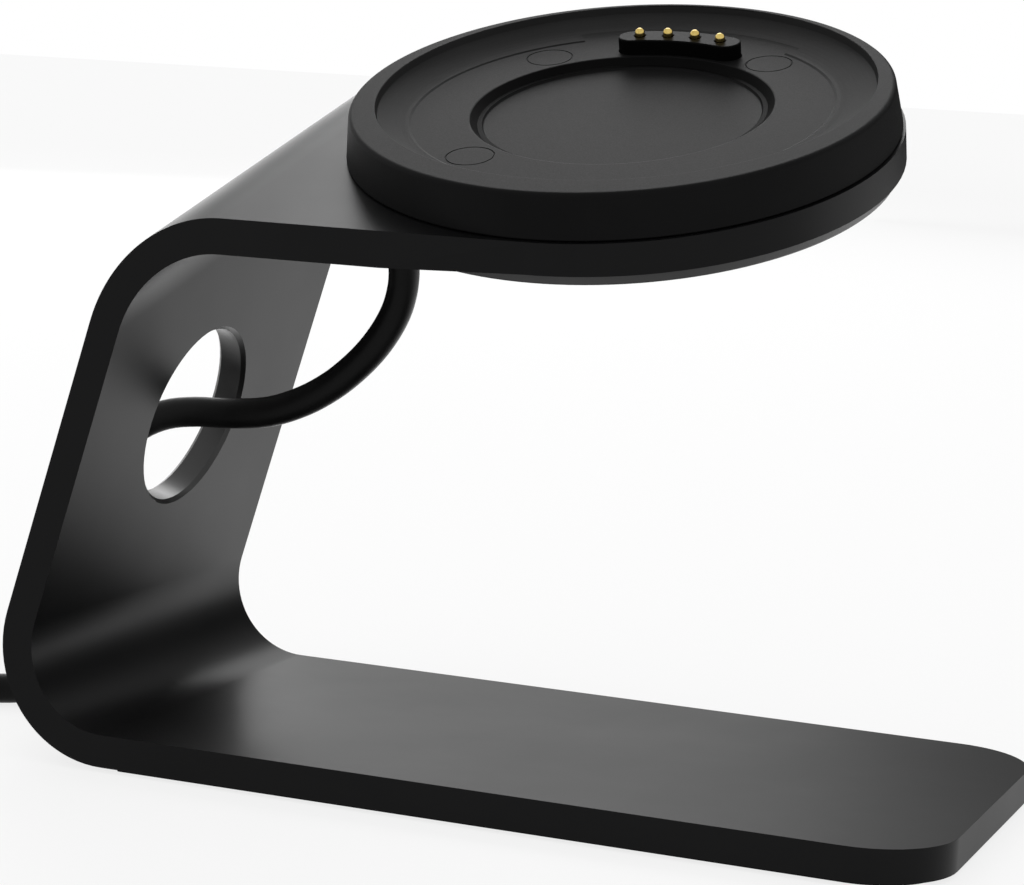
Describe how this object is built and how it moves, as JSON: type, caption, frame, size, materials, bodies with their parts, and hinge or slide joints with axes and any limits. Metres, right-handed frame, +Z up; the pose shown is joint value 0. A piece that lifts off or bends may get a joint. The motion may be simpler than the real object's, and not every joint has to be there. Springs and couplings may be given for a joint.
{
  "type": "smartwatch charging dock",
  "caption": "Smartwatch charging dock: a bent plate stand with a tilted round cradle, sprung contacts in a watch seat, and a cable through the upright to a coiled lead and plug.",
  "frame": {"origin": "on the table, in the middle of the dock's box without its cable", "axes": "+X along the base from the upright to its free end, +Y from the front to the back, +Z up"},
  "size_m": [0.1914, 0.058, 0.0766],
  "materials": {
    "plate": "fine satin black coating",
    "moulding": "fine matt moulded plastic",
    "pad": "matt soft pad",
    "cable": "smooth soft cable jacket",
    "plug_black": "semi-gloss moulded plug",
    "gold": "gold-plated contact",
    "steel": "bright plated steel",
    "board": "green solder mask",
    "chip": "moulded chip housing"
  },
  "bodies": {
    "dock": {"stand": "plate", "base_pad": "pad", "cradle": "moulding", "contact_block": "moulding", "pin_barrels": "gold", "contact_spring_1": "steel", "contact_spring_2": "steel", "contact_spring_3": "steel", "contact_spring_4": "steel", "circuit_board": "board", "board_chips": "chip", "magnets": "steel", "bottom_cover": "moulding", "cover_screws": "steel", "strain_relief": "cable", "charging_cable": "cable", "cable_coil": "cable", "cable_tie": "pad", "plug_lead": "cable", "plug_sleeve": "cable", "plug_housing": "plug_black", "plug_shell": "steel", "plug_tongue": "chip", "plug_contacts": "gold"},
    "pin_1": {"contact_pin_1": "gold"},
    "pin_2": {"contact_pin_2": "gold"},
    "pin_3": {"contact_pin_3": "gold"},
    "pin_4": {"contact_pin_4": "gold"}
  },
  "joints": [
    {"name": "pin_1_press", "type": "slide", "parent": "dock", "child": "pin_1", "axis": [0, 0.3371, -0.9415], "range_m": [0, 0.0006], "stiffness_N_per_m": 800, "springref_m": -0.0004, "deforming": ["contact_spring_1"]},
    {"name": "pin_2_press", "type": "slide", "parent": "dock", "child": "pin_2", "axis": [0, 0.3371, -0.9415], "range_m": [0, 0.0006], "stiffness_N_per_m": 800, "springref_m": -0.0004, "deforming": ["contact_spring_2"]},
    {"name": "pin_3_press", "type": "slide", "parent": "dock", "child": "pin_3", "axis": [0, 0.3371, -0.9415], "range_m": [0, 0.0006], "stiffness_N_per_m": 800, "springref_m": -0.0004, "deforming": ["contact_spring_3"]},
    {"name": "pin_4_press", "type": "slide", "parent": "dock", "child": "pin_4", "axis": [0, 0.3371, -0.9415], "range_m": [0, 0.0006], "stiffness_N_per_m": 800, "springref_m": -0.0004, "deforming": ["contact_spring_4"]}
  ]
}
